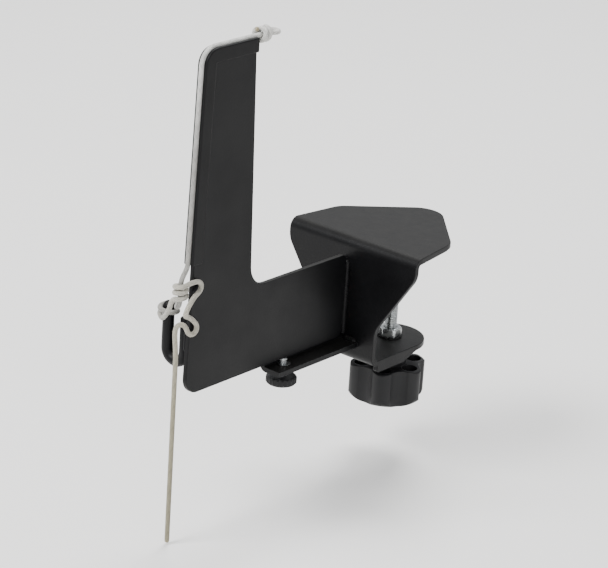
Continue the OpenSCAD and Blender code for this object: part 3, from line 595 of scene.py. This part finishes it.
# %% [markdown]
# ## Lock nuts
#
# The nuts on the studs keep the arm against its liner but let it slide, so they are lock nuts: a
# hexagon with its corners turned off, and a round collar rolled over a nylon ring that grips the
# thread. The hexagon could be a cylinder with six sides, but a turned corner is a curve, so each
# point takes the smaller of the hexagon's reach and the cone's.

# %% Make the lock nuts and their nylon rings
around = np.linspace(0, 2 * math.pi, 72, endpoint=False)[None, :]
hex_reach = 0.5 / np.cos((around + math.pi / 6) % (math.pi / 3) - math.pi / 6)


def hexed(profile, across):
    """Rings up a profile of (height, radius), no wider than a hexagon with its width across."""
    z, radius = np.array(profile)[..., None].transpose(1, 0, 2)
    radius = np.minimum(radius + 0 * around, hex_reach * across)
    return np.stack([radius * np.cos(around), radius * np.sin(around), z + 0 * around], axis=-1)


nut_across, jaw_nut_across = 10, 13
nut = hexed([(-7.4, 3.05), (-12, 3.05), (-12, 3.85), (-13, 3.85), (-13.1, 3.5), (-13.35, 3.6),
             (-13.4, 4), (-13.2, 4.35), (-12.9, 4.5), (-11.9, 4.5), (-11.8, 4.9), (-11.3, 5.8),
             (-8, 5.8), (-7.9, 5.6), (-7.4, 4.75), (-7.4, 3.05)], nut_across)
nylon_ring = hexed([(-12.05, 3.02), (-13, 3.02), (-13.1, 3.5), (-13, 3.8), (-12.05, 3.8),
                    (-12.05, 3.02)], nut_across)
lock_nuts = skin("chamfered_lock_nuts", *[lying(nut, *place) for place in stud_places])
place_on(lock_nuts, "post", "zinc_steel", zinc_plate, "stud_locknuts")
lock_rings = skin("lock_nut_rings", *[lying(nylon_ring, *place) for place in stud_places])
place_on(lock_rings, "post", "liner_nylon", nylon_sheet)
jaw_nut = hexed([(-71, 4.05), (-71, 7.6), (-65.3, 7.6), (-64.9, 6.9), (-64.5, 6.1), (-64.5, 4.5),
                 (-64.9, 4.05), (-71, 4.05)], jaw_nut_across)
place_on(skin("chamfered_jaw_nut", jaw_nut), "clamp", "zinc_steel", zinc_plate, "jaw_nut")

# %% [markdown]
# ## The cord's guide
#
# The guide is a strip of nylon that sits astride the post's edge, with a groove along its back for
# the cord. It is moulded straight and bent round the post's corner, so one section runs its whole
# length. A curve with a bevel object could carry the section, but the path is only two straight
# runs and an arc, so the section is drawn once and set down at each place of the path. The ends
# are rounded by drawing the section in a little over the last third of a millimetre.
#
# The section's heights are counted from the post's edge: a leg on each side of the sheet, a slot
# between them that clears it, and a round groove on top that the cord lies in.

# %% Draw the guide's section
def rounded(*corners):
    """Points round each corner of a line but its two ends, from (x, height, radius)."""
    spots, points = np.array([corner[:2] for corner in corners]), []
    for i in range(1, len(corners) - 1):
        back, on, radius = spots[i - 1] - spots[i], spots[i + 1] - spots[i], corners[i][2]
        back, on = back / np.linalg.norm(back), on / np.linalg.norm(on)
        centre = spots[i] + radius * (back + on)
        for t in np.linspace(0, math.pi / 2, 7):
            points.append(centre - radius * (on * math.cos(t) + back * math.sin(t)))
    return points


slot_side, groove_rim, guide_side = 1.55, 1.85, 3.5
leg_end, slot_floor, guide_back, groove_radius = -5.0, 0.05, 3.7, 1.55
right_leg = rounded(
    (groove_rim, slot_floor), (slot_side, slot_floor, 0.2), (slot_side, leg_end, 0.25),
    (guide_side, leg_end, 0.8), (guide_side, guide_back, 0.8), (groove_rim, guide_back))
half = np.array(right_leg + [(groove_rim, guide_back)])
groove_angles = np.radians(np.linspace(-20, -160, 21))
groove = np.array([0, guide_floor + cord_radius]) + groove_radius * np.column_stack(
    [np.cos(groove_angles), np.sin(groove_angles)])
section = np.vstack([half, groove, (half * [-1, 1])[::-1]])
print("guide section", len(section), "points")


# %% Bend the cord's guide
def drawn_in(outline, depth):
    """The outline moved into its own material by a depth."""
    ahead = np.roll(outline, -1, axis=0) - np.roll(outline, 1, axis=0)
    outward = np.column_stack([ahead[:, 1], -ahead[:, 0]])
    return outline - depth * outward / np.linalg.norm(outward, axis=1)[:, None]


guide_start_out = 107.0
top_run = corner_out - guide_start_out
edge_run = (bend_centre[2] - guide_end_height) / math.cos(lean)
# each place of the path: how far it lies from the bend, how far it has turned, how drawn in it is
end_round = [(0, 0.35), (0.1, 0.1), (0.35, 0)]
stations = [(-top_run + s, 0, depth) for s, depth in end_round]
stations += [(0, angle, 0) for angle in turn]
stations += [(edge_run - s, turn[-1], depth) for s, depth in end_round[::-1]]
guide_rings = []
for run, angle, depth in stations:
    outward = np.array([0, -math.sin(angle), math.cos(angle)])
    onward = np.array([0, -math.cos(angle), -math.sin(angle)])
    shape = drawn_in(section, depth)
    guide_rings.append(bend_centre + run * onward + shape[:, :1] * [1, 0, 0]
                       + (corner_radius + shape[:, 1:]) * outward)
bent_guide = skin("bent_cord_guide", np.array(guide_rings))
keep_flat(bent_guide, keep_sharp=True)
place_on(bent_guide, "post", "guide_nylon", guide_nylon, "cord_guide")

# %% [markdown]
# ## The hook
#
# The hook is a 7 mm steel rod: cut off square at its head, ground round at its free tip so that
# it can't chafe the cord, bent cold into a J, and welded to the post's back along a ground flat.
# A curve with a round bevel would give the bend, but neither the flat nor the two different ends,
# so the rod is a stack of rings too. Its rings turn with the bend, and every point past the
# post's back is brought back to it, which makes the flat.

# %% Bend the hook
rod_radius, bend_middle, bend_height, bend_reach, post_back = 3.5, -11.4, -32.5, 7.0, -1.5
head_length, tip_length, chamfer = 22, 25, 0.6
# each place along the rod: how far it has turned, its rise from the bend, and its radius
head = [(0, head_length, rod_radius - chamfer), (0, head_length - chamfer, rod_radius)]
bend = [(angle, 0, rod_radius) for angle in np.linspace(0, math.pi, 37)]
tip = [(math.pi, tip_length + rod_radius * math.sin(a), rod_radius * math.cos(a))
       for a in np.radians(np.arange(0, 90, 8))]
about, rise, radius = np.array(head + bend + tip).T[..., None]
round_rod = np.linspace(2 * math.pi, 0, 48, endpoint=False)[None, :]
reach = bend_reach + radius * np.cos(round_rod)
hook_rings = np.stack([
    np.minimum(bend_middle + reach * np.cos(about), post_back),
    -screw_inset - hook_out + radius * np.sin(round_rod),
    bend_height + rise - reach * np.sin(about),
], axis=-1)
place_on(skin("bent_rod_hook", hook_rings), "post", "frame_steel", frame_coat, "cord_hook")

# %% [markdown]
# ## The rubber foot
#
# The rubber face of the foot has raised rings, which bite on the table's underside and keep the
# clamp from turning as the knob is tightened. The rings are in the profile that the face is
# turned from, so they show in its outline too.

# %% Mould the ringed foot pad
ridges = [(14.5, -23.9), (14.5, -22.5), (14.2, -22.1)]
for radius in (12.4, 9.6, 6.8, 4.0):
    ridges += [(radius + 1.3, -22), (radius + 0.9, -22.1), (radius + 0.6, -22.6),
               (radius, -22.6), (radius - 0.3, -22.1)]
foot_profile = [(-24, 14.2)] + [(z, radius) for radius, z in ridges + [(3, -22), (2, -22)]]
foot_rings = threaded_rod(foot_profile, pitch=1, low=0, high=0, sides=96)  # without a thread
place_on(skin("ringed_foot_pad", foot_rings), "foot", "pad_rubber", pad_rubber, "pressure_pad")

# %% [markdown]
# ## Weld beads
#
# The carrier is welded to the frame's web, the hook to the post and the big nut to the lower jaw.
# Each bead is a row of overlapping puddles that froze one after another, painted over with the
# rest. The puddles' edges are crescents, because the middle of the bead freezes last. A bead is a
# tube along the corner whose hidden half lies in the steel. A crescent every 1.3 millimetres
# scallops it, and its width wanders a little, because a hand laid it.

# %% Lay the weld beads
beads_laid = np.random.default_rng(11)
puddle_step, puddle_bow, ripple = 1.3, 0.45, 0.1
wander_step, wander_most = 2.5, 0.14


def weld_bead(start, end, radius, outward):
    """Rings of one bead along a corner, in millimetres, which faces outward."""
    start, end, outward = np.array(start, float), np.array(end, float), np.array(outward, float)
    length = np.linalg.norm(end - start)
    ahead = (end - start) / length
    across = np.cross(ahead, outward / np.linalg.norm(outward))
    along = np.linspace(0, length, round(length / 0.13) + 1)[:, None]
    angle = np.linspace(0, 2 * math.pi, 36, endpoint=False)[None, :]
    puddle = along / puddle_step + puddle_bow * np.cos(angle)
    crescent = ripple * np.abs(np.sin(math.pi * puddle)) ** 0.6
    knots = np.arange(int(length / wander_step) + 2)
    wander = wander_most * np.interp(along / wander_step, knots, beads_laid.random(len(knots)))
    tip = np.minimum(along, length - along) / radius
    reach = radius * (0.84 + crescent + wander) * np.sqrt(1 - np.clip(1 - tip, 0, 0.98) ** 2)
    line = start + ahead * along
    side = np.cross(across, ahead)
    return line[:, None] + reach[..., None] * (
        np.cos(angle)[..., None] * side + np.sin(angle)[..., None] * across)


hexagon = np.radians(np.arange(0, 420, 60))
nut_corners = np.column_stack([7.5 * np.cos(hexagon), 7.5 * np.sin(hexagon), -71 + 0 * hexagon])
# up both sides of the carrier's wall, then over and under its shelf, then round the nut
frame_beads = skin(
    "frame_weld_beads",
    weld_bead((-2.65, -45.5, -9), (-2.65, -45.5, -59), 2.3, (1, -1, 0)),
    weld_bead((-5.65, -45.5, -9), (-5.65, -45.5, -59), 2.3, (-1, -1, 0)),
    weld_bead((-1, -45.5, -60.5), (9, -45.5, -60.5), 2.3, (0, -1, 1)),
    weld_bead((-4, -45.5, -63.5), (9, -45.5, -63.5), 2.3, (0, -1, -1)),
    *[weld_bead(a, b, 1.4, (*(a + b)[:2] / jaw_nut_across, 1))
      for a, b in zip(nut_corners, nut_corners[1:])],
)
place_on(frame_beads, "clamp", "frame_steel", bead_coat)
hook_beads = skin(
    "hook_weld_beads",
    weld_bead((-1.9, -185.9, -30), (-1.9, -185.9, -12), 1.2, (-1, 1, 0)),
    weld_bead((-1.9, -191.1, -30), (-1.9, -191.1, -12), 1.2, (-1, -1, 0)),
)
place_on(hook_beads, "post", "frame_steel", bead_coat)

# %% [markdown]
# ## The braided cord
#
# The cord is a round braid of sixteen polyester strands, eight each way, each passing over one
# and under the next. A plain tube with a bump map would do from far off, but the outline of a
# braid is knobbly, and its turns lie on each other in the knot, so the strands are real relief:
# each point of the tube is pushed out to whichever strand is on top there.

# %% Braid the cord
def frames_along(line):
    """Directions along a line, and a side direction carried along it without twisting."""
    ahead = np.gradient(line, axis=0)
    ahead /= np.linalg.norm(ahead, axis=1)[:, None]
    side = np.zeros_like(ahead)
    first = np.cross(ahead[0], [0, 0, 1.0] if abs(ahead[0][2]) < 0.8 else [1.0, 0, 0])
    side[0] = first / np.linalg.norm(first)
    for i in range(1, len(line)):
        carried = side[i - 1] - side[i - 1].dot(ahead[i]) * ahead[i]
        side[i] = carried / np.linalg.norm(carried)
    return side, np.cross(ahead, side)


def braid(angle, along):
    """Height of the braid's surface over its core, from 0 to 1, and which strand is on top."""
    strands, lay = 8, 13.5  # each way, and the length in millimetres of one full turn
    right = strands * (angle / (2 * math.pi) + along / lay)
    left = strands * (angle / (2 * math.pi) - along / lay)
    i, j = np.round(right), np.round(left)
    # each strand dips where it goes under, and is crowned from one side to the other
    over_right = 0.5 * np.cos(math.pi * (left + i)) + 2.2 * np.sqrt(1 - 3.7 * (right - i) ** 2)
    over_left = -0.5 * np.cos(math.pi * (right + j)) + 2.2 * np.sqrt(1 - 3.7 * (left - j) ** 2)
    on_top = np.where(over_right > over_left, i % strands, strands + j % strands)
    return np.clip((np.maximum(over_right, over_left) - 0.3) / 2.4, 0, 1), on_top


side, across = frames_along(centre_line)
angle = np.linspace(0, 2 * math.pi, 41)[None, :-1]
relief, on_top = braid(angle, along_cord[:, None])
from_end = np.minimum(along_cord, along_cord[-1] - along_cord)[:, None]
sealed = np.clip(1.6 - from_end / 1.2, 0, 1)
strand_height, melted_height = 0.3, 0.16
radius = (cord_radius - strand_height) + strand_height * relief * (1 - sealed)
radius = radius + melted_height * sealed
radius = radius * np.sqrt(1 - np.clip(1 - from_end / 1.1, 0, 0.995) ** 2)
rings = centre_line[:, None] + radius[..., None] * (
    np.cos(angle)[..., None] * side[:, None] + np.sin(angle)[..., None] * across[:, None]
)
print("braid", rings.shape[0], "by", rings.shape[1], "points")


def measure(piece, name, values):
    """Keeps a number for each point, which a finish can read by its name."""
    piece.data.attributes.new(name, "FLOAT", "POINT").data.foreach_set(
        "value", np.broadcast_to(values, rings.shape[:2]).astype(np.float32).ravel()
    )


braided_cord = skin("braided_cord", rings)
strand_tone = np.random.default_rng(5).random(16)
measure(braided_cord, "relief", relief)
measure(braided_cord, "strand_tone", strand_tone[on_top.astype(int)])
measure(braided_cord, "along", along_cord[:, None] / along_cord[-1])
measure(braided_cord, "sealed", sealed)
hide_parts("tension_cord")
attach(braided_cord, "post")

# %% [markdown]
# ## The cord's finish
#
# Polyester braid is off-white when new. Hands and weather grey it, most of all on the hanging tail
# that is pulled to tighten the net. Along the cord its colour also carries painted light and shade:
# paler over the top run, greyer down the post's edge. The hollows between strands are darkened as
# painted shade, with a little dirt over it all, and the cut ends are melted to a hard, darker bead
# so that they don't fray.

# %% Braided polyester
polyester, tree, shader, place = new_finish("braided_polyester")
worked = add(tree, "Attribute", {"attribute_name": "relief"}).outputs["Fac"]
own = add(tree, "Attribute", {"attribute_name": "strand_tone"}).outputs["Fac"]
along = add(tree, "Attribute", {"attribute_name": "along"}).outputs["Fac"]
melted = add(tree, "Attribute", {"attribute_name": "sealed"}).outputs["Fac"]
# painted light over the top and painted shade down the edge, paler again in the bow's turns, and
# khaki on the tail
tone = add(tree, "ValToRGB", {}, {"Fac": along})
shades = [(0.0, "#dfded9"), (0.22, "#d3d3d0"), (0.29, "#a3a29f"), (0.5, "#a09e98"),
          (0.58, "#bdbab0"), (0.76, "#b4af9f"), (0.86, "#9c967f"), (1.0, "#928b73")]
while len(tone.color_ramp.elements) < len(shades):
    tone.color_ramp.elements.new(1.0)
for stop, (place_along, shade) in zip(tone.color_ramp.elements, shades):
    stop.position, stop.color = place_along, light(shade)
strand = add(tree, "Mix", {"data_type": "RGBA", "blend_type": "MULTIPLY", 0: 0.3},
             {6: tone.outputs["Color"], 7: own})
grime = add(tree, "TexNoise", {"Scale": 90, "Detail": 5, "Roughness": 0.7}, {"Vector": place})
# painted shade: the hollows between strands are darkened, and the grime noise adds a little real
# dirt
hollow_shade = add(tree, "MapRange", {"From Min": 0.1, "From Max": 0.85, "To Min": 0.85, "To Max": 0.0},
             {"Value": worked})
grime_and_hollow_shade = add(tree, "Math", {"operation": "MULTIPLY_ADD", 1: 0.25},
           {0: grime.outputs["Fac"], 2: hollow_shade.outputs["Result"]})
grimed_and_hollow_shaded = add(tree, "Mix", {"data_type": "RGBA", 7: light("#4e4a40")},
            {0: grime_and_hollow_shade.outputs["Value"], 6: strand.outputs[2]})
ended = add(tree, "Mix", {"data_type": "RGBA", 7: light("#8f8468")},
            {0: melted, 6: grimed_and_hollow_shaded.outputs[2]})
rough = add(tree, "MapRange", {"To Min": 0.85, "To Max": 0.35}, {"Value": melted})
fibres = add(tree, "TexNoise", {"Scale": 5200, "Detail": 3, "Roughness": 0.7}, {"Vector": place})
bump = add(tree, "Bump", {"Strength": 0.45, "Distance": 0.00006}, {"Height": fibres.outputs["Fac"]})
tree.links.new(ended.outputs[2], shader.inputs["Base Color"])
tree.links.new(rough.outputs["Result"], shader.inputs["Roughness"])
tree.links.new(bump.outputs["Normal"], shader.inputs["Normal"])
shader.inputs["Sheen Weight"].default_value = 0.3
shader.inputs["Sheen Roughness"].default_value = 0.5
braided_cord.data.materials.append(polyester)

# %% [markdown]
# ## Floor and light
#
# A clamp photographed by itself stands before a plain pale floor under large soft lights. Black
# paint shows its shape only by what it reflects, so the lights are wide, and one stands behind to
# draw the top edges.

# %% Lay the floor
floor_mesh = bpy.data.meshes.new("floor")
far = 30
corners = [(-far, -far, 0), (far, -far, 0), (far, far, 0), (-far, far, 0)]
floor_mesh.from_pydata(corners, [], [(0, 1, 2, 3)])
floor = bpy.data.objects.new("floor", floor_mesh)
floor.location.z = -0.1505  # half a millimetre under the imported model's lowest point
bpy.context.collection.objects.link(floor)
paper, tree, shader, place = new_finish("pale_paper")
cloud = add(tree, "TexNoise", {"Scale": 3, "Detail": 3}, {"Vector": place})
tone = add(tree, "Mix", {"data_type": "RGBA", 6: light("#f1f0ee"), 7: light("#f6f5f3")},
           {0: cloud.outputs["Fac"]})
tree.links.new(tone.outputs[2], shader.inputs["Base Color"])
shader.inputs["Roughness"].default_value = 0.9
floor.data.materials.append(paper)

# %% Set the lights
def soft_light(name, place, target, size, power):
    lamp = bpy.data.objects.new(name, bpy.data.lights.new(name, "AREA"))
    lamp.data.shape, lamp.data.size, lamp.data.energy = "DISK", size, power
    lamp.location = place
    lamp.rotation_mode = "QUATERNION"
    lamp.rotation_quaternion = (Vector(target) - Vector(place)).to_track_quat("-Z", "Y")
    bpy.context.collection.objects.link(lamp)
    print(name, power, "W")


soft_light("key_light", (-0.5, -1.6, 1.7), (0, -0.1, 0), size=1.0, power=62)
soft_light("fill_light", (1.7, -1.3, 0.9), (0, -0.1, 0), size=1.2, power=16)
soft_light("back_light", (-0.5, 1.0, 2.3), (0, -0.1, 0.05), size=1.3, power=70)

sky = bpy.data.worlds.new("studio")
sky.use_nodes = True
sky.node_tree.nodes["Background"].inputs["Color"].default_value = light("#eef0f3")
sky.node_tree.nodes["Background"].inputs["Strength"].default_value = 0.75
bpy.context.scene.world = sky
